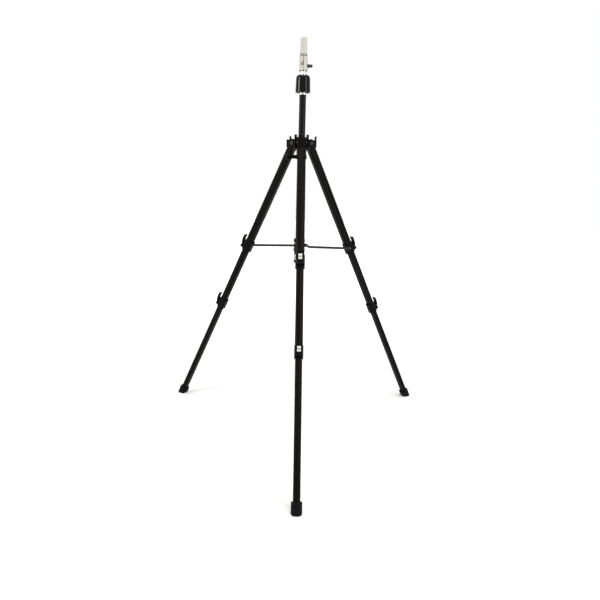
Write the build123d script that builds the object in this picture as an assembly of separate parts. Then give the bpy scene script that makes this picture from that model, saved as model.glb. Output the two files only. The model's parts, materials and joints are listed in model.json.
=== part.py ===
# Folding tripod stand that holds a training head on a tapered pin.
# Floor at z = 0, centre column on the Z axis, front leg towards -Y, sizes in millimetres.
import os
from math import cos, radians, sin

from build123d import *

os.makedirs("parts", exist_ok=True)

# Stance of the legs
leg_azimuths = {"front": -90, "right": 30, "left": 150}
leg_angle = 27.0  # lean of an open leg from the vertical
leg_reach = 924.0  # leg pivot to floor along the leg
pivot_radius = 24.0  # column axis to leg pivot

# Leg tubes, one section profile that steps inwards from tube to tube
leg_width = 21.8
leg_depth = 20.8
outer_round = 7.0
inner_round = 5.0
tube_wall = 0.85
slide_clearance = 0.3
upper_lock_bottom = 344.0  # leg pivot to the lower end of the upper lock
lower_lock_bottom = 567.0
mid_insertion = 130.0  # length of middle tube inside the upper tube
lower_insertion = 50.0
mid_draw = {"front": 5.0, "right": -4.0, "left": -11.0}  # each middle tube drawn out past the mean

# Flip locks
collar_length = 32.0
collar_wall = 1.4
collar_back = 2.2  # extra wall on the collar's inner side
collar_lip = 3.0
collar_slit = 2.0
cheek_set = 0.7  # collar's side in to the cheek's outer face
cheek_radius = 3.4
cheek_rise = 20.0  # collar bottom up to the centre of the cheek's upper round
cheek_edge = 1.2
lever_width = 13.4
lever_pin_radius = 1.6
lever_pin_rise = 7.5  # collar bottom up to the lever pin
lever_pin_offset = 3.6  # collar face out to the lever pin
lever_reach = 32.0  # lever pin up to the centre of the lever's tip
lever_bow = 5.4  # how far the blade's middle stands out from the pin
lever_lean = 5.8  # how far the blade's tip stands out from the pin
lever_blade = 4.0
lever_gap = 0.3
lever_edge = 1.0

# Tube guides, leg tops and feet
guide_height = 4.0
guide_plug = 10.0
guide_clearance = 0.15
knuckle_radius = 11.2
knuckle_edge = 1.2
hood_face = 41.5  # column axis out to the hood's outer face, which is upright on an open leg
hood_ridge = 9.0  # leg pivot up to the hood's ridge above it
hood_top = 0.5  # leg pivot up to the hood's outer edge
stop_tab_wall = 3.4
stop_tab_top = 9.5
shoulder_start = 17.0  # pivot down to the leg's shoulder
shoulder_height = 8.0
shoulder_edge = 1.5
leg_plug = 20.0
boot_height = 25.0
boot_wall = 4.1
boot_flare = 0.5
boot_sole = 10.0  # floor up to the tube's end along the leg
boot_sole_round = 2.6
boot_edge = 1.0
boot_bead = 0.6
boot_bead_height = 3.5

# Crown
bush_wall = 1.0
hub_radius = 13.2
crown_rise = 15.5  # leg pivot up to the crown's top
crown_plate_radius = 16.4
crown_plate_height = 2.4
fork_lug_radius = 9.0
fork_lug_width = 10.0
boss_place = 18.6  # column axis out to a screw boss
boss_radius = 3.5
boss_rise = 22.0
pivot_bolt_radius = 3.0
bolt_head_radius = 4.6
bolt_head_height = 2.2
bolt_socket_radius = 2.4
neck_drop = 42.0  # leg pivot down to the neck's lower end
neck_flange_radius = 14.6
neck_flange_height = 11.0
swing_gap = 0.6

# Column lock screw
lock_azimuth = 210.0
lock_drop = 36.0  # leg pivot down to the screw
lock_boss_radius = 5.0
lock_boss_reach = 24.0
lock_stud_radius = 3.0
lock_stem_radius = 4.6
lock_knob_radius = 8.0
lock_knob_start = 34.0
lock_knob_length = 13.0
lock_knob_edge = 2.5

# Column and guide tube
column_exposed = 107.0  # crown top to the ring under the bell cap
column_wall = 1.6
column_below = 199.0  # crown top down to the column's lower end
groove_width = 2.4
groove_depth = 0.8
guide_tube_radius = 11.2
guide_tube_wall = 1.3
guide_tube_gap = 0.9  # guide tube's bore in to the column
guide_tube_seat = 19.0
column_foot_height = 6.0
column_foot_plug = 12.0

# Bell cap, ring, spigot and head pin
ring_height = 5.0
ring_wall = 1.2
cap_height = 44.0
cap_top_radius = 18.4
cap_waist_radius = 19.0
cap_mouth_radius = 19.7
cap_round = 8.5
cap_wall = 2.2
cap_plate = 4.0
cap_recess = 3.0
spigot_radius = 7.0
spigot_gap = 8.0  # bell cap up to the pin's sleeve
spigot_engagement = 21.0
spigot_plug = 28.0
spigot_flange = 3.0
sleeve_height = 37.0
sleeve_radius = 10.8
sleeve_slit = 1.6
sleeve_window = 8.0
sleeve_window_rise = 14.0
sleeve_lobe = 4.0
pin_groove = 5.0
pin_length = 41.0
pin_base_radius = 9.25
pin_top_radius = 8.1
pin_round = 2.0
pin_shank = 16.0
screw_rise = 14.0
screw_radius = 2.4
screw_flange_radius = 5.2
screw_flange_height = 3.4
screw_neck_radius = 3.0
screw_neck_height = 1.2
screw_knob_radius = 3.7
screw_knob_height = 8.2

# Brace between the legs
brace_pivot_rise = 19.0  # upper collar's bottom up to the brace pivot
brace_inset = 7.0  # leg axis in to the brace pivot
brace_rise = 17.2  # brace pivot on the leg up to the pivot on the hub
brace_boss_radius = 4.2
brace_boss_height = 0.45
hub_wall = 1.15  # spool round the guide tube
hub_pivot_reach = 3.55  # spool's side out to the arm's pivot
lug_width = 7.0
lug_radius = 4.8
arm_width = 6.6
arm_thickness = 2.0
arm_kink_length = 9.0
arm_kink_drop = 5.0
rivet_radius = 2.0
rivet_head_radius = 3.4
rivet_head_height = 1.2
brace_hub_up = 18.0  # hub pivot up to the hub's top
brace_hub_down = 18.0
hub_flange_radius = 16.2
hub_flange_height = 9.5
guide_cap_radius = 13.6
guide_cap_height = 9.0
guide_cap_plug = 6.0

# Clearances
fit = 0.06  # between pieces that are fixed together
running = 0.08  # between a pin or shaft and what turns on it
sliding = 0.1  # between the column and its guides
face_gap = 0.15  # between flat faces that move past each other
edge_break = 0.8  # on turned edges

bottom_align = (Align.CENTER, Align.CENTER, Align.MIN)
top_align = (Align.CENTER, Align.CENTER, Align.MAX)

# Heights and places that follow from the driving dimensions
column_radius = guide_tube_radius - guide_tube_wall - guide_tube_gap
ring_radius = column_radius + ring_wall
spool_radius = guide_tube_radius + sliding + hub_wall
hub_pivot_radius = spool_radius + hub_pivot_reach
pivot_height = leg_reach * cos(radians(leg_angle))
crown_top = pivot_height + crown_rise
neck_bottom = pivot_height - neck_drop
ring_bottom = crown_top + column_exposed
cap_bottom = ring_bottom + ring_height
cap_top = cap_bottom + cap_height
column_top = cap_top - cap_plate - spigot_flange - face_gap
column_bottom = crown_top - column_below
sleeve_bottom = cap_top + spigot_gap
sleeve_top = sleeve_bottom + sleeve_height
pin_bottom = sleeve_top + pin_groove
lock_height = pivot_height - lock_drop
bush_radius = column_radius + sliding + bush_wall
recess_top = cap_bottom + cap_recess
mid_inset = tube_wall + slide_clearance
lower_inset = 2 * mid_inset
tube_end = upper_lock_bottom - collar_lip
mid_tube_end = lower_lock_bottom - collar_lip
mid_tube_top = tube_end - mid_insertion
lower_tube_top = mid_tube_end - lower_insertion
lower_tube_end = leg_reach - boot_sole
upper_tube_top = shoulder_start + shoulder_height
cheek_inner = lever_width / 2 + lever_gap
brace_drop = upper_lock_bottom - brace_pivot_rise
brace_face = leg_width / 2 + collar_wall + brace_boss_height  # leg's plane out to the face that carries the arm


def collar_face(inset):
    """Distance from a tube's axis to the flat outer face of the collar moulded round it."""
    return leg_depth / 2 - inset + collar_wall


# Brace pivots in the plane of a leg: distance from the column axis and height
leg_sine = sin(radians(leg_angle))
leg_cosine = cos(radians(leg_angle))
brace_radius = pivot_radius - brace_inset * leg_cosine + brace_drop * leg_sine
brace_height = pivot_height - brace_inset * leg_sine - brace_drop * leg_cosine
hub_pivot_height = brace_height + brace_rise
brace_hub_bottom = hub_pivot_height - brace_hub_down
guide_tube_top = neck_bottom + guide_tube_seat
guide_tube_bottom = brace_hub_bottom - face_gap - guide_cap_height / 2


def in_fork(azimuth):
    """Place of a leg's pivot on the crown, x outwards and z up."""
    return Rot(0, 0, azimuth) * Pos(pivot_radius, 0, pivot_height)


def in_leg(azimuth):
    """Place of an open leg: pivot at the origin, tube along -z, outer face towards +x."""
    return in_fork(azimuth) * Rot(0, -leg_angle, 0)


def leg_section(inset, back=0):
    """Section of the leg tubes with a rounder outer face, drawn in by inset and deeper by back on its inner side."""
    outline = Pos(-back / 2, 0) * Rectangle(leg_depth - 2 * inset + back, leg_width - 2 * inset)
    outline = fillet(outline.vertices().sort_by(Axis.X)[-2:], outer_round - inset)
    return fillet(outline.vertices().sort_by(Axis.X)[:2], inner_round - inset)


def leg_bar(inset, top, bottom, back=0):
    """Solid with the leg's section between two distances below the pivot."""
    return Pos(0, 0, -bottom) * extrude(leg_section(inset, back), bottom - top)


def leg_tube(inset, top, bottom):
    return leg_bar(inset, top, bottom) - leg_bar(inset + tube_wall, top, bottom)


def plate(outline, low, high):
    """Plate of an outline drawn in side view, x outwards and z up, between two tangential distances."""
    return Pos(0, high, 0) * extrude(Plane.XZ * outline, high - low)


def cross_pin(radius, low, high):
    """Round bar along the tangential direction."""
    return plate(Circle(radius), low, high)


def turned(*points):
    """Solid turned about the Z axis from its half profile of radius and height pairs."""
    return revolve(Plane.XZ * make_face(Polyline(*points, close=True)), Axis.Z)


def ring_of(inner, outer, low, high):
    return turned((inner, low), (outer, low), (outer, high), (inner, high))


def lever_pivot(inset, bottom):
    """Place of a lever's pin in side view, x outwards and z up."""
    return collar_face(inset) + lever_pin_offset, lever_pin_rise - bottom


def cheek_outer(inset):
    """Distance from a tube's axis to the outer faces of the cheeks beside its lever."""
    return leg_width / 2 - inset + collar_wall - cheek_set


def collar(inset, bottom, *bosses):
    """Clamp collar round a tube's lower end, split under its lever, with two cheeks for the lever pin."""
    top = bottom - collar_length
    face = collar_face(inset)
    pin_x, pin_z = lever_pivot(inset, bottom)
    root_x = face - outer_round
    upper_z = cheek_rise - bottom
    corners = ((pin_x, pin_z), (root_x, pin_z), (root_x, upper_z), (face - cheek_radius / 2, upper_z))
    rims = ShapeList()
    for x, z in corners:
        rims += (Pos(x, z) * Circle(cheek_radius)).edges()
    cheek = plate(make_hull(rims), cheek_inner, cheek_outer(inset))
    cheek = fillet(cheek.faces().sort_by(Axis.Y)[-1].edges(), cheek_edge)
    body = leg_bar(inset - collar_wall, top, bottom, collar_back) + cheek + mirror(cheek, Plane.XZ)
    for boss in bosses:
        body += boss
    body -= leg_bar(inset - fit, top, bottom - collar_lip)
    body -= leg_bar(inset + tube_wall, bottom - collar_lip, bottom)
    body -= Pos(pin_x, 0, pin_z) * cross_pin(lever_pin_radius, -leg_width, leg_width)
    slit_height = collar_length - 2 * collar_lip
    slit = Box(2 * collar_wall, collar_slit, slit_height, align=bottom_align)
    return body - Pos(face - collar_wall / 2, 0, -bottom + 2 * collar_lip) * slit


def lever(inset, bottom):
    """Cam lever of a flip lock: barrel on the pin and a bowed blade whose tip stands off the tube."""
    half = lever_width / 2
    pin_x, pin_z = lever_pivot(inset, bottom)
    middle = (pin_x + lever_bow, pin_z + lever_reach / 2)
    tip = (pin_x + lever_lean, pin_z + lever_reach)
    outline = trace(ThreePointArc((pin_x, pin_z), middle, tip), lever_blade)
    outline += Pos(*tip) * Circle(lever_blade / 2)
    outline += Pos(pin_x, pin_z) * Circle(lever_pin_offset - lever_gap)
    body = plate(outline, -half, half)
    body = chamfer(body.faces().filter_by(Axis.Y).edges(), lever_edge / 2)
    return body - Pos(pin_x, 0, pin_z) * cross_pin(lever_pin_radius + running, -half, half)


def lever_pin(inset, bottom):
    pin_x, pin_z = lever_pivot(inset, bottom)
    side = cheek_outer(inset)
    return Pos(pin_x, 0, pin_z) * cross_pin(lever_pin_radius - fit, -side, side)


def upper_collar():
    """Upper clamp collar with a low boss on one side that the brace arm lies against."""
    pivot = Pos(-brace_inset, 0, -brace_drop)
    boss = pivot * cross_pin(brace_boss_radius, -brace_face, 0)
    return collar(0, upper_lock_bottom, boss) - pivot * cross_pin(rivet_radius + running, -brace_face, 0)


def tube_guide(inset, top):
    """Nylon guide in the upper end of a sliding tube, with a flange that runs in the tube around it."""
    flange = leg_bar(inset - slide_clearance + guide_clearance, top - guide_height, top)
    return flange + leg_bar(inset + tube_wall + fit, top, top + guide_plug)


def hood_line(reach, height):
    """Point of an upright line in the leg's side view, from its distance to the column axis and its height."""
    return (reach - pivot_radius + height * leg_sine) / leg_cosine, height


def knuckle():
    """Top fitting of a leg: cheeks beside the crown's lug, a hood in front of it and the plug inside the tube."""
    half = leg_width / 2
    back = -leg_depth / 2
    outline = make_face(
        Polyline(
            (back, 0),
            (0, hood_ridge),
            hood_line(hood_face, hood_top),
            hood_line(hood_face, -shoulder_start),
            (back, -shoulder_start),
            close=True,
        )
    )
    body = plate(outline + Circle(knuckle_radius), -half, half)
    body = chamfer(body.faces().filter_by(Axis.Y).edges(), knuckle_edge)
    tab_outer = hood_face - knuckle_edge / 2
    tab_inner = tab_outer - stop_tab_wall
    corners = [hood_line(reach, -stop_tab_wall) for reach in (tab_inner, tab_outer)]
    corners += [hood_line(reach, stop_tab_top) for reach in (tab_outer, tab_inner)]
    slot_half = fork_lug_width / 2 + face_gap
    body += plate(make_face(Polyline(*corners, close=True)), knuckle_edge - half, -slot_half)
    shoulder = leg_bar(0, shoulder_start - shoulder_edge, upper_tube_top)
    shoulder = fillet(shoulder.faces().sort_by(Axis.Z)[-1].edges(), shoulder_edge)
    body += shoulder + leg_bar(tube_wall + fit, upper_tube_top, upper_tube_top + leg_plug)
    clear = fork_lug_radius + swing_gap
    slot = Circle(clear) + Pos(0, clear) * Rectangle(2 * clear, 2 * clear)
    slot += Pos(-pivot_radius / 2, clear) * Rectangle(pivot_radius, 4 * clear)
    body -= plate(slot, -slot_half, slot_half)
    return body - cross_pin(pivot_bolt_radius + running, -leg_width, leg_width)


def boot():
    """Rubber boot round the lower tube's end, flared to a round edged sole that is cut flat at the floor."""
    top = leg_reach - boot_height
    bottom = leg_reach + leg_width
    upper_rim = Pos(0, 0, -top) * leg_section(lower_inset - boot_wall)
    sole_rim = Pos(0, 0, -bottom) * leg_section(lower_inset - boot_wall - boot_flare)
    body = loft([upper_rim, sole_rim])
    bead = leg_bar(lower_inset - boot_wall - boot_bead, top, top + boot_bead_height)
    body += chamfer(bead.faces().sort_by(Axis.Z)[-1].edges(), boot_edge)
    below = Box(leg_width * 4, leg_width * 4, leg_width * 4, align=top_align)
    body -= Pos(0, 0, -leg_reach) * Rot(0, leg_angle, 0) * below
    floor_up = Axis.Z.located(Rot(0, leg_angle, 0))
    body = fillet(body.faces().sort_by(floor_up)[0].outer_wire().edges(), boot_sole_round)
    return body - leg_bar(lower_inset - fit, top, lower_tube_end)


def crown():
    """Moulded crown: hub and neck round the column, a lug and a screw boss for each leg, and the lock's boss."""
    body = ring_of(0, hub_radius, neck_bottom, crown_top)
    body += ring_of(0, crown_plate_radius, crown_top - crown_plate_height, crown_top)
    flange_low = lock_height - neck_flange_height / 2
    body += ring_of(0, neck_flange_radius, flange_low, flange_low + neck_flange_height)
    lock_boss = Cylinder(lock_boss_radius, lock_boss_reach, align=bottom_align)
    body += Rot(0, 0, lock_azimuth) * Pos(0, 0, lock_height) * Rot(0, 90, 0) * lock_boss
    outline = Circle(fork_lug_radius)
    outline += Pos(-pivot_radius / 2, 0) * Rectangle(pivot_radius, 2 * fork_lug_radius)
    lug = plate(outline, -fork_lug_width / 2, fork_lug_width / 2)
    lug += Pos(boss_place - pivot_radius, 0, 0) * Cylinder(boss_radius, boss_rise, align=bottom_align)
    lug -= cross_pin(pivot_bolt_radius + fit, -fork_lug_width, fork_lug_width)
    for azimuth in leg_azimuths.values():
        body += in_fork(azimuth) * lug
    body -= ring_of(0, bush_radius + fit, guide_tube_top, crown_top)
    body -= ring_of(0, guide_tube_radius + fit, min(neck_bottom, flange_low), guide_tube_top)
    stud_hole = Cylinder(lock_stud_radius + running, lock_boss_reach, align=bottom_align)
    return body - Rot(0, 0, lock_azimuth) * Pos(0, 0, lock_height) * Rot(0, 90, 0) * stud_hole


def pivot_bolts():
    """One bolt for each leg pivot, with a socket in the head on one side and a nut on the other."""
    low = leg_width / 2 + face_gap
    high = low + bolt_head_height
    bolt = cross_pin(pivot_bolt_radius, -low, low) + cross_pin(bolt_head_radius, low, high)
    bolt += plate(RegularPolygon(bolt_head_radius, 6), -high, -low)
    bolt -= plate(RegularPolygon(bolt_socket_radius, 6), (low + high) / 2, high)
    return Part() + [in_fork(azimuth) * bolt for azimuth in leg_azimuths.values()]


def column():
    """Drawn tube with an anti-rotation groove down its front."""
    tube = ring_of(column_radius - column_wall, column_radius, column_bottom, column_top)
    length = column_top - column_bottom
    groove = Box(groove_width, 2 * groove_depth, length, align=bottom_align)
    return tube - Pos(0, -column_radius, column_bottom) * groove


def column_bush():
    """Nylon liner in the crown with a key that runs in the column's groove."""
    liner = ring_of(column_radius + sliding, bush_radius, guide_tube_top + face_gap, crown_top)
    key_height = crown_top - guide_tube_top - face_gap
    key = Box(groove_width - 4 * sliding, groove_depth + bush_wall / 2, key_height, align=bottom_align)
    key_y = -column_radius - sliding - bush_wall / 2 + (groove_depth + bush_wall / 2) / 2 - sliding
    return liner + Pos(0, key_y, guide_tube_top + face_gap) * key


def column_foot():
    """Nylon plug in the column's lower end that guides it in the guide tube."""
    bore = column_radius - column_wall - fit
    rim = guide_tube_radius - guide_tube_wall - sliding
    low = column_bottom - column_foot_height
    high = column_bottom + column_foot_plug
    return turned((0, low), (rim, low), (rim, column_bottom), (bore, column_bottom), (bore, high), (0, high))


def guide_tube():
    tube = ring_of(guide_tube_radius - guide_tube_wall, guide_tube_radius, guide_tube_bottom, guide_tube_top)
    hole = Cylinder(lock_stud_radius + face_gap, guide_tube_radius * 2, align=bottom_align)
    return tube - Rot(0, 0, lock_azimuth) * Pos(0, 0, lock_height) * Rot(0, 90, 0) * hole


def guide_cap():
    """End cap of the guide tube, on which the brace hub comes to rest."""
    low = brace_hub_bottom - face_gap - guide_cap_height
    high = brace_hub_bottom - face_gap
    bore = guide_tube_radius - guide_tube_wall - fit
    body = ring_of(0, guide_cap_radius, low, high)
    body = chamfer(body.edges().group_by(Axis.Z)[0], guide_cap_height / 4)
    body -= ring_of(0, guide_tube_radius + fit, guide_tube_bottom, high)
    return body + ring_of(0, bore, guide_tube_bottom, guide_tube_bottom + guide_cap_plug)


def lock_screw():
    """Knob screw that presses on the column: stud, long stem and a round knob."""
    tip = column_radius + 2 * sliding
    stem_start = lock_boss_reach + slide_clearance
    end = lock_knob_start + lock_knob_length
    body = turned(
        (0, tip),
        (lock_stud_radius, tip),
        (lock_stud_radius, stem_start),
        (lock_stem_radius, stem_start),
        (lock_stem_radius, lock_knob_start),
        (lock_knob_radius, lock_knob_start),
        (lock_knob_radius, end),
        (0, end),
    )
    body = fillet(body.edges().group_by(Axis.Z)[-1], lock_knob_edge)
    return Rot(0, 0, lock_azimuth) * Pos(0, 0, lock_height) * Rot(0, 90, 0) * body


def column_ring():
    """Bright ring on the column under the bell cap."""
    bore = column_radius + fit
    return turned(
        (bore, ring_bottom),
        (ring_radius - edge_break, ring_bottom),
        (ring_radius, ring_bottom + edge_break),
        (ring_radius, recess_top - face_gap),
        (bore, recess_top - face_gap),
    )


def bell_cap():
    """Bell shaped cap over the column's top: swelling side, round crest and a shallow recess in its mouth."""
    waist_z = (cap_bottom + cap_top) / 2
    side = Spline((cap_mouth_radius, cap_bottom), (cap_waist_radius, waist_z), (cap_top_radius, cap_top - cap_round))
    crest = RadiusArc((cap_top_radius, cap_top - cap_round), (cap_top_radius - cap_round, cap_top), -cap_round)
    hole = spigot_radius + fit
    bore = column_radius + fit
    rim = cap_mouth_radius - cap_wall
    rest = Polyline(
        (cap_top_radius - cap_round, cap_top),
        (hole, cap_top),
        (hole, cap_top - cap_plate),
        (bore, cap_top - cap_plate),
        (bore, recess_top),
        (rim, recess_top),
        (rim, cap_bottom),
        (cap_mouth_radius, cap_bottom),
    )
    return revolve(Plane.XZ * make_face(side + crest + rest), Axis.Z)


def spigot():
    """Polished post screwed into the column's top, which the pin's sleeve slips over."""
    plug = column_radius - column_wall - fit
    top = sleeve_bottom + spigot_engagement
    return turned(
        (0, column_top - spigot_plug),
        (plug, column_top - spigot_plug),
        (plug, column_top),
        (column_radius, column_top),
        (column_radius, column_top + spigot_flange),
        (spigot_radius, column_top + spigot_flange),
        (spigot_radius, top - edge_break),
        (spigot_radius - edge_break, top),
        (0, top),
    )


def pin_sleeve():
    """Split clamp sleeve under the taper, with a window beside the slit and rounded feet."""
    bore = spigot_radius + sliding
    body = ring_of(bore, sleeve_radius, sleeve_bottom, sleeve_top)
    body = fillet(body.edges().group_by(Axis.Z)[-1].sort_by(SortBy.RADIUS)[-1], edge_break)
    slit = Box(sleeve_slit, 2 * sleeve_radius, sleeve_height, align=(Align.CENTER, Align.MAX, Align.MIN))
    body -= Pos(0, 0, sleeve_bottom) * slit
    window = Box(sleeve_window, 2 * sleeve_radius, sleeve_window, align=(Align.MAX, Align.MAX, Align.MIN))
    body -= Pos(sleeve_slit / 2, 0, sleeve_bottom + sleeve_window_rise) * window
    notch = Plane.XZ * (Rot(0, 0, 45) * Rectangle(sleeve_lobe, sleeve_lobe))
    body -= Pos(0, 0, sleeve_bottom) * extrude(notch, 2 * sleeve_radius)
    hole = Cylinder(screw_radius + running, 2 * sleeve_radius, align=bottom_align)
    return body - Pos(0, 0, sleeve_bottom + screw_rise) * Rot(0, 90, 0) * hole


def head_pin():
    """Tapered pin for the head, with a shank pressed into the sleeve."""
    shank = spigot_radius + sliding - fit
    shank_low = pin_bottom - pin_groove - pin_shank + 2 * fit
    top = pin_bottom + pin_length
    body = turned(
        (0, shank_low),
        (shank, shank_low),
        (shank, pin_bottom),
        (pin_base_radius, pin_bottom),
        (pin_top_radius, top),
        (0, top),
    )
    return fillet(body.edges().group_by(Axis.Z)[-1], pin_round)


def pin_screw():
    """Thumb screw in the sleeve's wall: shank, flange, waist and a round knob."""
    tip = spigot_radius + sliding
    flange = sleeve_radius + face_gap
    waist = flange + screw_flange_height
    knob = waist + screw_neck_height
    end = knob + screw_knob_height
    body = turned(
        (0, tip),
        (screw_radius, tip),
        (screw_radius, flange),
        (screw_flange_radius, flange),
        (screw_flange_radius, waist),
        (screw_neck_radius, waist),
        (screw_neck_radius, knob),
        (screw_knob_radius, knob),
        (screw_knob_radius, end),
        (0, end),
    )
    body = fillet(body.edges().group_by(Axis.Z)[-1], screw_knob_radius / 2)
    return Pos(0, 0, sleeve_bottom + screw_rise) * Rot(0, 90, 0) * body


def brace_hub():
    """Spool that slides on the guide tube, with a lug for each arm between its two flanges."""
    top = hub_pivot_height + brace_hub_up
    body = ring_of(0, spool_radius, brace_hub_bottom, top)
    for low in (brace_hub_bottom, top - hub_flange_height):
        flange = ring_of(0, hub_flange_radius, low, low + hub_flange_height)
        body += chamfer(flange.edges(), edge_break)
    outline = Pos(hub_pivot_radius, hub_pivot_height) * Circle(lug_radius)
    outline += Pos(hub_pivot_radius / 2, hub_pivot_height) * Rectangle(hub_pivot_radius, 2 * lug_radius)
    lug = plate(outline, -brace_face, lug_width - brace_face)
    lug -= Pos(hub_pivot_radius, 0, hub_pivot_height) * cross_pin(rivet_radius + running, -brace_face, 0)
    for azimuth in leg_azimuths.values():
        body += Rot(0, 0, azimuth) * lug
    return body - ring_of(0, guide_tube_radius + sliding, brace_hub_bottom, top)


def brace_arm():
    """Flat steel arm on edge, bent up near the hub, with a rivet hole at each end."""
    outer_end = (brace_radius, brace_height)
    inner_end = (hub_pivot_radius, hub_pivot_height)
    kink = (hub_pivot_radius + arm_kink_length, hub_pivot_height - arm_kink_drop)
    centre_line = Polyline(outer_end, kink, inner_end)
    outline = trace(centre_line, arm_width)
    for point in (outer_end, kink, inner_end):
        outline += Pos(*point) * Circle(arm_width / 2)
    for point in (outer_end, inner_end):
        outline -= Pos(*point) * Circle(rivet_radius + fit)
    return plate(outline, -brace_face - face_gap - arm_thickness, -brace_face - face_gap)


def brace_rivets():
    """Rivets of an arm. The hub's rivet passes through the lug, the leg's rivet ends at the arm's inner face."""
    arm_inside = -brace_face - face_gap
    arm_outside = arm_inside - arm_thickness
    head = cross_pin(rivet_head_radius, arm_outside - rivet_head_height, arm_outside)
    lug_inside = lug_width - brace_face + face_gap
    hub_rivet = head + cross_pin(rivet_radius, arm_outside, lug_inside)
    hub_rivet += cross_pin(rivet_head_radius, lug_inside, lug_inside + rivet_head_height)
    leg_rivet = head + cross_pin(rivet_radius, arm_outside, arm_inside)
    hub_rivet = Pos(hub_pivot_radius, 0, hub_pivot_height) * hub_rivet
    return hub_rivet + Pos(brace_radius, 0, brace_height) * leg_rivet


def save(name, shape):
    export_step(shape, f"parts/{name}.step")


leg_pieces = {
    "knuckle": knuckle(),
    "upper_tube": leg_tube(0, upper_tube_top, tube_end),
    "upper_collar": upper_collar(),
    "upper_lever": lever(0, upper_lock_bottom),
    "upper_lever_pin": lever_pin(0, upper_lock_bottom),
    "lower_tube": leg_tube(lower_inset, lower_tube_top, lower_tube_end),
    "lower_guide": tube_guide(lower_inset, lower_tube_top),
    "boot": boot(),
}
mid_pieces = {
    "mid_tube": leg_tube(mid_inset, mid_tube_top, mid_tube_end),
    "mid_guide": tube_guide(mid_inset, mid_tube_top),
    "lower_collar": collar(mid_inset, lower_lock_bottom),
    "lower_lever": lever(mid_inset, lower_lock_bottom),
    "lower_lever_pin": lever_pin(mid_inset, lower_lock_bottom),
}
brace_pieces = {"brace_arm": brace_arm(), "brace_rivets": brace_rivets()}
centre_pieces = {
    "crown": crown(),
    "pivot_bolts": pivot_bolts(),
    "column_bush": column_bush(),
    "guide_tube": guide_tube(),
    "guide_cap": guide_cap(),
    "lock_screw": lock_screw(),
    "column": column(),
    "column_foot": column_foot(),
    "column_ring": column_ring(),
    "bell_cap": bell_cap(),
    "spigot": spigot(),
    "pin_sleeve": pin_sleeve(),
    "head_pin": head_pin(),
    "pin_screw": pin_screw(),
    "brace_hub": brace_hub(),
}

for side, azimuth in leg_azimuths.items():
    for name, shape in leg_pieces.items():
        save(f"{side}_{name}", in_leg(azimuth) * shape)
    for name, shape in mid_pieces.items():
        save(f"{side}_{name}", in_leg(azimuth) * Pos(0, 0, -mid_draw[side]) * shape)
    for name, shape in brace_pieces.items():
        save(f"{side}_{name}", Rot(0, 0, azimuth) * shape)
for name, shape in centre_pieces.items():
    save(name, shape)
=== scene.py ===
import json
import math

import bpy
import numpy as np
from mathutils import Matrix, Vector
from mathutils.bvhtree import BVHTree


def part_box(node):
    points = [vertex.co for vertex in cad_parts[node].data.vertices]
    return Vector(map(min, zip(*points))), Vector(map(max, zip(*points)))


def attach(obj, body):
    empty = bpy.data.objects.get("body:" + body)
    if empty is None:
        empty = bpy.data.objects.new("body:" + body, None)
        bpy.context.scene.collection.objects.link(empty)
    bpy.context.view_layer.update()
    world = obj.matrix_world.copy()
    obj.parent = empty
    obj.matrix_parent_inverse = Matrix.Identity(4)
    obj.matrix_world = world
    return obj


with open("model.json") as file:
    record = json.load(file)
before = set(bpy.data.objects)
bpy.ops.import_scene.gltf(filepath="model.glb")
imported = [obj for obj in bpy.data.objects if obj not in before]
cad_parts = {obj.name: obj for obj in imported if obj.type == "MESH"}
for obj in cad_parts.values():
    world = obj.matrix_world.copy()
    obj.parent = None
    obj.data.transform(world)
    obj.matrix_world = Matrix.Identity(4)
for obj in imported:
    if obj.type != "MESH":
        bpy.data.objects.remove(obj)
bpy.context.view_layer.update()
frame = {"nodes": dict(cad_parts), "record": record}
scene = bpy.context.scene
nodes = frame["nodes"]
mm = 0.001
print("frame loaded with", len(nodes), "nodes")

# how the stand is set up: azimuths and lean in degrees, the rest in mm
stand = {"azimuths": {"front": -90.0, "right": 30.0, "left": 150.0}, "lean": 27.0, "pivotRadius": 24.0,
         "reach": 924.0}
legLean = math.radians(stand["lean"])
pivotHeight = stand["reach"] * math.cos(legLean)
lockBottoms = {"upper": 344.0, "lower": 567.0}
middleDraw = {"front": 5.0, "right": -4.0, "left": -11.0}


def linear(code):  # sRGB hex to linear rgba
    parts = [int(code[i:i + 2], 16) / 255 for i in (0, 2, 4)]
    return [p / 12.92 if p <= 0.04045 else ((p + 0.055) / 1.055) ** 2.4 for p in parts] + [1.0]


def add(tree, kind, settings=None, **sockets):  # one node with its settings; a socket takes a value or a link
    made = tree.nodes.new(kind)
    for key, value in (settings or {}).items():
        setattr(made, key, value)
    for key, value in sockets.items():
        numbered = key[0] == "i" and key[1:].isdigit()
        socket = made.inputs[int(key[1:])] if numbered else made.inputs[key.replace("_", " ")]
        if isinstance(value, bpy.types.NodeSocket):
            tree.links.new(value, socket)
        else:
            socket.default_value = value
    return made


# how the two noises of a finish mix: the share of each, and the broad one's scale beside the fine one's
noise = {"fine": 0.55, "broad": 0.45, "broadScale": 0.03}
unturned = (0.0, 0.0, 0.0)


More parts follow.
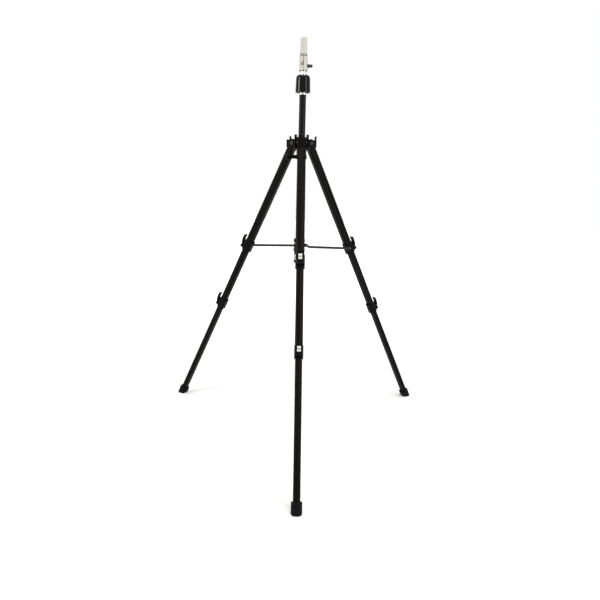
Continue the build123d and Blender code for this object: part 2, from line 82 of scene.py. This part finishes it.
def finish(name, low, high, grain, rough, metal=0.0, bump=0.0, specular=0.5, turn=unturned, sharp=1.0):
    # two colours mixed by a fine and a broad noise; grain is the fine size in mm along x, y and z, bump is in mm,
    # turn sets the grain along a leaning piece and sharp draws its two colours apart
    material = bpy.data.materials.new(name)
    material.use_nodes = True
    tree = material.node_tree
    tree.nodes.clear()
    place = add(tree, "ShaderNodeTexCoord").outputs["Object"]
    drawn = add(tree, "ShaderNodeMapping", {"vector_type": "TEXTURE"}, Vector=place, Rotation=turn,
                Scale=[g * mm for g in grain]).outputs[0]
    fine = add(tree, "ShaderNodeTexNoise", Vector=drawn, Scale=1.0, Detail=3.0, Roughness=0.6)
    broad = add(tree, "ShaderNodeTexNoise", Vector=drawn, Scale=noise["broadScale"], Detail=2.0, Roughness=0.5)
    fade = add(tree, "ShaderNodeMath", {"operation": "MULTIPLY"}, i0=broad.outputs["Fac"], i1=noise["broad"])
    # the mixed noise sets tone and roughness: random mottle, and on the leg tubes the painted highlight streaks
    mottleAndStreaks = add(tree, "ShaderNodeMath", {"operation": "MULTIPLY_ADD"}, i0=fine.outputs["Fac"], i1=noise["fine"],
               i2=fade.outputs[0])
    parted = add(tree, "ShaderNodeMapRange", Value=mottleAndStreaks.outputs[0], From_Min=0.5 - 0.5 / sharp,
                 From_Max=0.5 + 0.5 / sharp)
    tone = add(tree, "ShaderNodeMix", {"data_type": "RGBA"}, i0=parted.outputs[0], i6=linear(low),
               i7=linear(high))
    gloss = add(tree, "ShaderNodeMapRange", Value=mottleAndStreaks.outputs[0], From_Min=0.25, From_Max=0.75,
                To_Min=rough[0], To_Max=rough[1])
    shell = add(tree, "ShaderNodeBsdfPrincipled", Base_Color=tone.outputs[2], Roughness=gloss.outputs[0],
                Metallic=metal, Specular_IOR_Level=specular)
    if bump:
        relief = add(tree, "ShaderNodeBump", Height=fine.outputs["Fac"], Distance=bump * mm, Strength=1.0)
        tree.links.new(relief.outputs["Normal"], shell.inputs["Normal"])
    add(tree, "ShaderNodeOutputMaterial", Surface=shell.outputs[0])
    return material


def even(size):  # grain that is the same in every direction
    return (size, size, size)


looks = {
    # drawn tube, anodised dark grey: fine lines along it, a little lighter than the legs
    "column_aluminium": finish("darkAnodisedAluminium", "0b0b0a", "141412", (0.5, 0.5, 30.0), (0.24, 0.32),
                               bump=0.006, specular=0.1),
    # moulded glass filled nylon: dull black with a fine spark texture
    "crown_plastic": finish("blackMouldedNylon", "030303", "110f0e", even(1.6), (0.3, 0.4), bump=0.02,
                            specular=0.05, sharp=2.5),
    # moulded acetal: black, a little smoother than the crown
    "lock_plastic": finish("blackAcetal", "030303", "0e0e0e", even(1.6), (0.26, 0.36), bump=0.015, specular=0.05,
                           sharp=2.5),
    # polished ABS: piano black with clear highlights
    "cap_plastic": finish("glossBlackAbs", "050504", "0c0b0a", even(2.0), (0.05, 0.08), specular=0.13),
    # plain nylon: milky white
    "nylon": finish("naturalNylon", "c9c6bb", "dad7cd", even(1.0), (0.4, 0.55), bump=0.02),
    # moulded rubber: black with a faint cold bloom
    "boot_rubber": finish("blackRubber", "050506", "101114", even(0.8), (0.5, 0.65), bump=0.04, specular=0.08),
    # chromed ring: mirror bright
    "ring_chrome": finish("chromedSteel", "c4c4c4", "dadad9", even(1.5), (0.1, 0.16), metal=1.0),
    # polished post: nearly white
    "spigot_steel": finish("polishedSteel", "d2d1ce", "e6e5e2", (1.5, 1.5, 0.4), (0.12, 0.2), metal=1.0),
    # turned aluminium: warm grey with fine turning rings
    "pin_aluminium": finish("turnedAluminium", "aeada7", "c6c4be", (6.0, 6.0, 0.35), (0.72, 0.82), metal=1.0,
                            bump=0.006),
    # blackened steel screws: dark with a dull glint
    "screw_steel": finish("blackenedSteel", "131312", "232321", even(0.6), (0.32, 0.42), bump=0.01, specular=0.3),
    # painted strip steel: black enamel with a soft sheen
    "arm_steel": finish("blackEnamel", "121211", "20201e", even(0.6), (0.32, 0.44), bump=0.008, specular=0.25),
    # plain steel rivets: dulled mid grey
    "rivet_steel": finish("dullSteel", "3c3b39", "585754", even(0.8), (0.34, 0.46), metal=1.0, bump=0.006),
}
# extruded tube, anodised black: deep black with a satin sheen; the soft lighter lines along each tube are extrusion
# grain with painted highlight streaks on it
tubeTurns = {side: (0.0, -legLean, math.radians(azimuth)) for side, azimuth in stand["azimuths"].items()}
tubeTurns["guide"] = unturned
tubeLooks = {side: finish(f"blackAnodisedAluminium.{side}", "000000", "24211f", (2.6, 2.6, 600.0),
                          (0.26, 0.36), bump=0.01, specular=0.03, turn=turn, sharp=4.0)
             for side, turn in tubeTurns.items()}
slotOf = {entry["node"]: entry["material_slot"] for entry in frame["record"]["subparts"]}
for name, slotName in slotOf.items():
    for place in nodes[name].material_slots:
        place.material = tubeLooks[name.split("_")[0]] if slotName == "leg_aluminium" else looks[slotName]
print("finishes", len(looks))


def turnBy(azimuth):  # rotation about the column by an azimuth in degrees
    return np.array(Matrix.Rotation(math.radians(azimuth), 3, "Z"))


def legPoint(azimuth, points):
    # leg millimetres (outward, sideways, up the leg from its pivot) to metres in the frame
    lean = np.array(Matrix.Rotation(-legLean, 3, "Y"))
    upright = np.asarray(points) @ lean.T + np.array([stand["pivotRadius"], 0.0, pivotHeight])
    return upright @ turnBy(azimuth).T * mm


def legWay(azimuth, way):  # direction in the leg to a direction in the frame
    return turnBy(azimuth) @ np.array(Matrix.Rotation(-legLean, 3, "Y")) @ np.asarray(way, float)


def sheet(name, patches, material, wrap=False):
    # quads between neighbours on grids of points, one grid for each patch; wrap closes the second parameter
    patches = np.asarray(patches, float)
    count, rows, columns = patches.shape[:3]
    index = np.arange(count * rows * columns).reshape(count, rows, columns)
    if wrap:
        index = np.concatenate([index, index[:, :, :1]], axis=2)
    corners = (index[:, :-1, :-1], index[:, :-1, 1:], index[:, 1:, 1:], index[:, 1:, :-1])
    quads = np.stack(corners, axis=-1).reshape(-1, 4)
    mesh = bpy.data.meshes.new(name)
    mesh.from_pydata(patches.reshape(-1, 3).tolist(), [], quads.tolist())
    mesh.polygons.foreach_set("use_smooth", np.ones(len(quads), bool))
    mesh.update()
    mesh.materials.append(material)
    piece = bpy.data.objects.new(name, mesh)
    scene.collection.objects.link(piece)
    return piece


def dress(name, patches, slotName, body, wrap=False, material=None):  # a new piece that rides on a CAD body
    piece = sheet(name, patches, material or looks[slotName], wrap)
    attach(piece, body)
    return piece


def facing(patches, outward):  # turn the grids round where their quads would face inwards
    patches = np.asarray(patches)
    middle = patches.shape[1] // 2
    corner = patches[:, middle, 0]
    across = np.cross(patches[:, middle, 1] - corner, patches[:, middle + 1, 0] - corner)
    return patches if (across * outward).sum(axis=-1).mean() > 0 else patches[:, ::-1]


def castOn(node, starts, ways):  # where rays in metres first meet a CAD node
    tree = BVHTree.FromObject(node, bpy.context.evaluated_depsgraph_get())
    found = [tree.ray_cast(Vector(s), Vector(w))[0] for s, w in zip(starts, ways)]
    missed = sum(f is None for f in found)
    if missed:
        print("rays miss", node.name, missed)
    return None if missed else np.array([list(f) for f in found])


def lockRise(side, level, rise):  # height above a lock's lower end to millimetres up the leg from its pivot
    return np.asarray(rise) - lockBottoms[level] - (middleDraw[side] if level == "lower" else 0.0)


castFrom = {"lever": 60.0, "boot": 40.0}  # rays start this far from the leg's axis, in mm
# white printed blocks on each lever, two rows of two, laid just off its face; sizes in mm, grid in points
mark = {"width": 9.0, "split": 0.5, "gap": 1.6, "lift": 0.06, "grid": (9, 7),
        "rows": {"upper": (16.8, 30.6), "lower": (15.0, 28.0)}}
# pad printed ink: flat warm white
ink = finish("whitePadPrint", "d9d8d2", "f0efea", even(0.5), (0.45, 0.6), bump=0.004, specular=0.2)
# half round grip ribs across each lever's tip; arc is in half turns and sinks both edges into the lever
grip = {"rises": {"upper": (33.8, 35.9, 38.0), "lower": (31.6, 33.7, 35.8, 37.9)}, "width": 9.6, "radius": 0.45,
        "points": 17, "arc": (-0.15, 1.15)}
for side, azimuth in stand["azimuths"].items():
    inward = legWay(azimuth, (-1, 0, 0))
    upLeg = legWay(azimuth, (0, 0, 1))
    for level in lockBottoms:
        lever = nodes[f"{side}_{level}_lever"]
        body = f"{side}_{level}_flip"
        low, high = mark["rows"][level]
        tall = (high - low - mark["gap"]) / 2
        wide = (mark["width"] - mark["split"]) / 2
        rows, columns = mark["grid"]
        rises = np.linspace(0, tall, rows)[None, :] + np.array([low, high - tall])[:, None]
        sides = np.linspace(0, wide, columns)[None, :] + np.array([-mark["width"] / 2, mark["split"] / 2])[:, None]
        z = np.broadcast_to(lockRise(side, level, rises)[:, None, :, None], (2, 2, rows, columns))
        y = np.broadcast_to(sides[None, :, None, :], (2, 2, rows, columns))
        starts = legPoint(azimuth, np.stack([np.full(z.size, castFrom["lever"]), y.ravel(), z.ravel()], axis=1))
        hits = castOn(lever, starts, np.tile(inward, (len(starts), 1)))
        if hits is not None:
            blocks = (hits - inward * mark["lift"] * mm).reshape(4, rows, columns, 3)
            dress(f"{side}_{level}_mark", facing(blocks, -inward), "lock_plastic", body, material=ink)
        across = np.linspace(-1, 1, grip["points"])
        z, y = np.meshgrid(lockRise(side, level, grip["rises"][level]), across * grip["width"] / 2, indexing="ij")
        starts = legPoint(azimuth, np.stack([np.full(z.size, castFrom["lever"]), y.ravel(), z.ravel()], axis=1))
        hits = castOn(lever, starts, np.tile(inward, (len(starts), 1)))
        if hits is None:
            continue
        # rib: half circle in the plane of the leg and its outward way, its radius falling to nothing at both ends
        turn = np.linspace(grip["arc"][0] * np.pi, grip["arc"][1] * np.pi, 11)
        radius = grip["radius"] * mm * (1 - across ** 8) ** 0.5
        spread = np.cos(turn)[:, None] * upLeg + np.sin(turn)[:, None] * -inward
        ribs = hits.reshape(-1, grip["points"], 1, 3) + radius[None, :, None, None] * spread[None, None]
        dress(f"{side}_{level}_grip", facing(ribs, upLeg), "lock_plastic", body)
print("lever marks and grips")

# moulded rings round each boot: round beads that follow the boot's outline; arc is in half turns to each side
bead = {"heights": (12.0, 15.2, 18.4), "radius": 0.55, "around": 96, "arc": 0.6}
for side, azimuth in stand["azimuths"].items():
    angles = np.linspace(0, 2 * np.pi, bead["around"], endpoint=False)
    spin = np.stack([np.cos(angles), np.sin(angles), np.zeros_like(angles)], axis=1)
    ways = np.stack([legWay(azimuth, s) for s in spin])
    upLeg = legWay(azimuth, (0, 0, 1))
    turn = np.linspace(-bead["arc"] * np.pi, bead["arc"] * np.pi, 9)[:, None, None]
    rings = []
    for height in bead["heights"]:
        starts = legPoint(azimuth, spin * castFrom["boot"] + np.array([0.0, 0.0, height - stand["reach"]]))
        hits = castOn(nodes[f"{side}_boot"], starts, -ways)
        if hits is not None:
            rings.append(hits[None] + bead["radius"] * mm * (np.cos(turn) * ways[None] + np.sin(turn) * upLeg))
    dress(f"{side}_boot_beads", rings, "boot_rubber", f"{side}_low", wrap=True)
print("boot beads")


# flutes of a knob: sink in mm at both ends, the share of its length that fades, and the power that rounds a ridge
flute = {"sink": 0.15, "fade": 0.12, "round": 0.6}


def flutedGrip(name, centre, axis, plan, slotName, body):
    # radius = knob radius + ridge height times a raised cosine round the knob, faded at both ends of the grip
    axis = np.asarray(axis, float)
    side = np.cross(axis, (0.0, 0.0, 1.0))
    side /= np.linalg.norm(side)
    other = np.cross(axis, side)
    angles = np.linspace(0, 2 * np.pi, plan["ridges"] * 8, endpoint=False)
    along = np.linspace(0, 1, 9)
    lift = plan["ridge"] * (0.5 + 0.5 * np.cos(plan["ridges"] * angles)) ** flute["round"]
    fade = np.clip(np.minimum(along, 1 - along) / flute["fade"], 0, 1)
    reach = plan["radius"] - flute["sink"] + (flute["sink"] + lift)[None, :] * fade[:, None]
    ring = np.cos(angles)[:, None] * side + np.sin(angles)[:, None] * other
    places = (plan["from"] + (plan["to"] - plan["from"]) * along)[:, None, None]
    points = (np.asarray(centre) + axis * places + reach[:, :, None] * ring) * mm
    return dress(name, points[None], slotName, body, True)


# fluted grips on the two knobs, in mm from the column's axis along each screw
lockGrip = {"azimuth": 210.0, "drop": 36.0, "from": 36.0, "to": 45.0, "radius": 8.0, "ridge": 0.7, "ridges": 20}
lockAxis = turnBy(lockGrip["azimuth"]) @ np.array([1.0, 0.0, 0.0])
flutedGrip("lock_knob_flutes", (0.0, 0.0, pivotHeight - lockGrip["drop"]), lockAxis, lockGrip,
           slotOf["lock_screw"], "lock")
screwLow, screwHigh = (np.array(corner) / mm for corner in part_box("pin_screw"))
# the thumb screw's grip is placed back from its outer end
thumbGrip = {"from": screwHigh[0] - 7.4, "to": screwHigh[0] - 2.0, "radius": 3.7, "ridge": 0.35, "ridges": 16}
flutedGrip("thumb_knob_flutes", (0.0, 0.0, (screwLow[2] + screwHigh[2]) / 2), (1.0, 0.0, 0.0), thumbGrip,
           slotOf["pin_screw"], "thumb")
print("knob grips")


def turnedBand(name, low, high, radius, body):
    # a painted shade ring revolved about the column: full radius between two heights, drawn in at both ends by a
    # quarter circle
    turn = np.linspace(0, np.pi / 2, 6)
    edge = (high - low) * band["edge"]
    heights = np.concatenate([low + edge * (1 - np.cos(turn)), high - edge * (1 - np.cos(turn[::-1]))])
    radii = radius - edge + edge * np.concatenate([np.sin(turn), np.sin(turn[::-1])])
    angle = np.linspace(0, 2 * np.pi, band["around"], endpoint=False)
    points = np.stack([radii[:, None] * np.cos(angle), radii[:, None] * np.sin(angle),
                       np.broadcast_to(heights[:, None], (len(heights), len(angle)))], axis=-1) * mm
    return dress(name, points[None], slotOf["pin_sleeve"], body, wrap=True, material=shadeBandLook)


# painted shade: a flat mid grey that stands for the shade in the joints of the bright pin
shadeBandLook = finish("paintedShadeGrey", "6c6b67", "868580", even(0.8), (0.5, 0.6), metal=1.0, bump=0.006)
sleeveLow, sleeveHigh = (corner.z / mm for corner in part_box("pin_sleeve"))
# painted shade: dark bands above and below the pin's sleeve (from, to, radius) where its joints fall into shade,
# and a grey sheet behind its window for the shade inside it, in mm;
# edge is the share of a band's height that is drawn in
band = {"upper": (0.2, 4.8, 9.7), "lower": (0.3, 3.0, 11.0), "edge": 0.3, "around": 96,
        "shadeRadius": 10.2, "shadeAcross": (-7.0, 0.7), "shadeUp": (14.2, 21.8)}
for name, base in (("upper", sleeveHigh), ("lower", sleeveLow)):
    low, high, radius = band[name]
    turnedBand(f"pin_{name}_band", base + low, base + high, radius, "pin")
# the painted shade in the window is part of a cylinder about the column
up, across = np.meshgrid(np.linspace(*band["shadeUp"], 9), np.linspace(*band["shadeAcross"], 17), indexing="ij")
windowShade = np.stack([across, -np.sqrt(band["shadeRadius"] ** 2 - across ** 2), sleeveLow + up], axis=-1) * mm
dress("pin_window_shade", windowShade[None], slotOf["pin_sleeve"], "pin", material=shadeBandLook)
print("pin bands")


# cross recess as shares of the head's radius: half width and reach of the slots, and how sharply each ends
recess = {"half": 0.13, "halfEdge": 40.0, "reach": 0.62, "reachEdge": 30.0}


def roundHead(centre, axis, radius, height, cross=0.0):
    # dome: height times a square root fall to the rim; a cross recess sinks where either side distance is small
    axis = np.asarray(axis, float)
    side = np.cross(axis, (0.0, 1.0, 0.0) if abs(axis[1]) < 0.9 else (1.0, 0.0, 0.0))
    side /= np.linalg.norm(side)
    other = np.cross(axis, side)
    around = np.linspace(0, 2 * np.pi, 48, endpoint=False)
    out, angle = np.meshgrid(np.linspace(1.0, 0.0, 17), around, indexing="ij")
    x, y = out * np.cos(angle), out * np.sin(angle)
    rise = height * np.sqrt(np.clip(1 - out ** 2, 0, 1))
    if cross:
        near = np.minimum(np.abs(x), np.abs(y))
        slots = 1 / (1 + np.exp((near - recess["half"]) * recess["halfEdge"]))
        rise -= cross * slots / (1 + np.exp((out - recess["reach"]) * recess["reachEdge"]))
    flat = radius * (x[..., None] * side + y[..., None] * other)
    return (np.asarray(centre) + flat + rise[..., None] * axis) * mm


# cross recessed pan heads on the crown's three screw bosses
bossScrew = {"place": 18.6, "rise": 22.0, "radius": 2.7, "height": 1.1, "cross": 0.8}
bossTop = np.array([bossScrew["place"], 0.0, pivotHeight + bossScrew["rise"]])
heads = [roundHead(turnBy(a) @ bossTop, (0, 0, 1), bossScrew["radius"], bossScrew["height"], bossScrew["cross"])
         for a in stand["azimuths"].values()]
dress("boss_screw_heads", heads, slotOf["pivot_bolts"], "stand", wrap=True)

# domes on both ends of every brace rivet, lower on those under the full radius; skin finds an end's flat face
rivetDome = {"height": 0.8, "rim": 0.96, "fullRadius": 3.0, "skin": 0.02}
for side, azimuth in stand["azimuths"].items():
    mesh = nodes[f"{side}_brace_rivets"].data
    spots = np.empty(len(mesh.vertices) * 3)
    mesh.vertices.foreach_get("co", spots)
    spots = spots.reshape(-1, 3) / mm
    across = turnBy(azimuth) @ np.array([0.0, 1.0, 0.0])
    outward = spots @ (turnBy(azimuth) @ np.array([1.0, 0.0, 0.0]))
    middle = (outward.min() + outward.max()) / 2
    domes = []
    for group in (spots[outward < middle], spots[outward >= middle]):
        for way in (across, -across):
            depth = group @ way
            face = group[depth > depth.max() - rivetDome["skin"]]
            centre = (face.min(axis=0) + face.max(axis=0)) / 2
            radius = np.linalg.norm(face - centre, axis=1).max() * rivetDome["rim"]
            height = rivetDome["height"] * min(1.0, radius / rivetDome["fullRadius"])
            domes.append(roundHead(centre, way, radius, height))
    dress(f"{side}_rivet_domes", domes, "rivet_steel", f"{side}_arm", wrap=True)
print("screw heads and rivet domes")

# camera fitted to the photograph's outline: place in mm, turns in degrees, lens and sensor in mm
shot = {"place": (6.17, -1528.6, 774.8), "pitch": 14.185, "roll": 1.426, "heading": -1.3, "lens": 32.81,
        "sensor": 36.0}
pitch, roll = math.radians(shot["pitch"]), math.radians(shot["roll"])
right = np.array([1.0, 0.0, 0.0])
upward = np.array([0.0, math.sin(pitch), math.cos(pitch)])
ahead = np.array([0.0, math.cos(pitch), -math.sin(pitch)])
rolledRight = right * math.cos(roll) + upward * math.sin(roll)
rolledUp = upward * math.cos(roll) - right * math.sin(roll)
pose = np.eye(4)
pose[:3, :3] = turnBy(shot["heading"]) @ np.stack([rolledRight, rolledUp, -ahead], axis=1)
pose[:3, 3] = turnBy(shot["heading"]) @ np.array(shot["place"]) * mm
lensData = bpy.data.cameras.new("photoCamera")
lensData.lens = shot["lens"]
lensData.sensor_width = shot["sensor"]
lensData.clip_start, lensData.clip_end = 0.05, 50.0
camera = bpy.data.objects.new("photoCamera", lensData)
scene.collection.objects.link(camera)
camera.matrix_world = Matrix(pose.tolist())
scene.camera = camera
print("camera")


def seenDirectly(tree):  # 1 for rays from the camera, mirrors and glass, 0 for the light that falls on the object
    path = add(tree, "ShaderNodeLightPath")
    clear = add(tree, "ShaderNodeMath", {"operation": "MAXIMUM"}, i0=path.outputs["Is Camera Ray"],
                i1=path.outputs["Is Transmission Ray"])
    return add(tree, "ShaderNodeMath", {"operation": "MAXIMUM"}, i0=clear.outputs[0],
               i1=path.outputs["Is Glossy Ray"]).outputs[0]


# floor: a wide pale disc that keeps the soft shadow under the stand and runs out to white, sizes in metres
floor = {"rings": (6.0, 3.0, 1.6, 0.8, 0.3, 0.0), "low": "e6e6e5", "high": "eeeeed", "lift": 0.16, "plain": 0.6,
         "white": 1.8}
# painted studio floor: even pale grey
floorLook = finish("paleStudioFloor", floor["low"], floor["high"], even(20.0), (0.5, 0.6), specular=0.2)
tree = floorLook.node_tree
shell = next(n for n in tree.nodes if n.type == "BSDF_PRINCIPLED")
out = next(n for n in tree.nodes if n.type == "OUTPUT_MATERIAL")
spot = add(tree, "ShaderNodeTexCoord").outputs["Object"]
apart = add(tree, "ShaderNodeVectorMath", {"operation": "LENGTH"}, i0=spot)
glow = add(tree, "ShaderNodeMapRange", {"interpolation_type": "SMOOTHSTEP"}, Value=apart.outputs["Value"],
           From_Min=floor["plain"], From_Max=floor["white"], To_Min=floor["lift"], To_Max=1.0)
shown = add(tree, "ShaderNodeMath", {"operation": "MULTIPLY"}, i0=glow.outputs[0], i1=seenDirectly(tree))
halo = add(tree, "ShaderNodeEmission", Color=linear("ffffff"), Strength=shown.outputs[0])
both = add(tree, "ShaderNodeAddShader", i0=shell.outputs[0], i1=halo.outputs[0])
tree.links.new(both.outputs[0], out.inputs["Surface"])
# disc: rings of points about the column
reach, angle = np.meshgrid(floor["rings"], np.linspace(0, 2 * np.pi, 64, endpoint=False), indexing="ij")
disc = np.stack([reach * np.cos(angle), reach * np.sin(angle), np.zeros_like(reach)], axis=-1)
sheet("studioFloor", disc[None], floorLook, wrap=True)

# white surround: dim where it lights the stand, full where it is seen
world = bpy.data.worlds.new("studioWorld")
scene.world = world
world.use_nodes = True
tree = world.node_tree
tree.nodes.clear()
dome = add(tree, "ShaderNodeBackground", Color=linear("ffffff"), Strength=0.32)
white = add(tree, "ShaderNodeBackground", Color=linear("ffffff"), Strength=1.0)
choice = add(tree, "ShaderNodeMixShader", i0=seenDirectly(tree), i1=dome.outputs[0], i2=white.outputs[0])
add(tree, "ShaderNodeOutputWorld", Surface=choice.outputs[0])

# soft boxes: place, aim, width and height in metres, power in watts
lamps = {
    "rightBox": {"at": (1.75, -1.5, 1.5), "aim": (0.0, 0.0, 0.6), "size": (0.6, 1.7), "power": 27.0,
                 "tint": "ffffff"},
    "leftStrip": {"at": (-1.9, -0.8, 1.36), "aim": (0.0, 0.0, 0.98), "size": (0.44, 0.4), "power": 20.0,
                  "tint": "fff6e8"},
    "topBox": {"at": (0.2, -0.3, 3.1), "aim": (0.0, 0.0, 0.0), "size": (1.7, 1.7), "power": 64.0, "tint": "ffffff"},
}
for name, plan in lamps.items():
    data = bpy.data.lights.new(name, "AREA")
    data.shape = "RECTANGLE"
    data.size, data.size_y = plan["size"]
    data.energy = plan["power"]
    data.color = linear(plan["tint"])[:3]
    box = bpy.data.objects.new(name, data)
    scene.collection.objects.link(box)
    box.location = plan["at"]
    box.rotation_euler = (Vector(plan["aim"]) - box.location).to_track_quat("-Z", "Y").to_euler()
scene.view_settings.view_transform = "Standard"
print("light and floor")
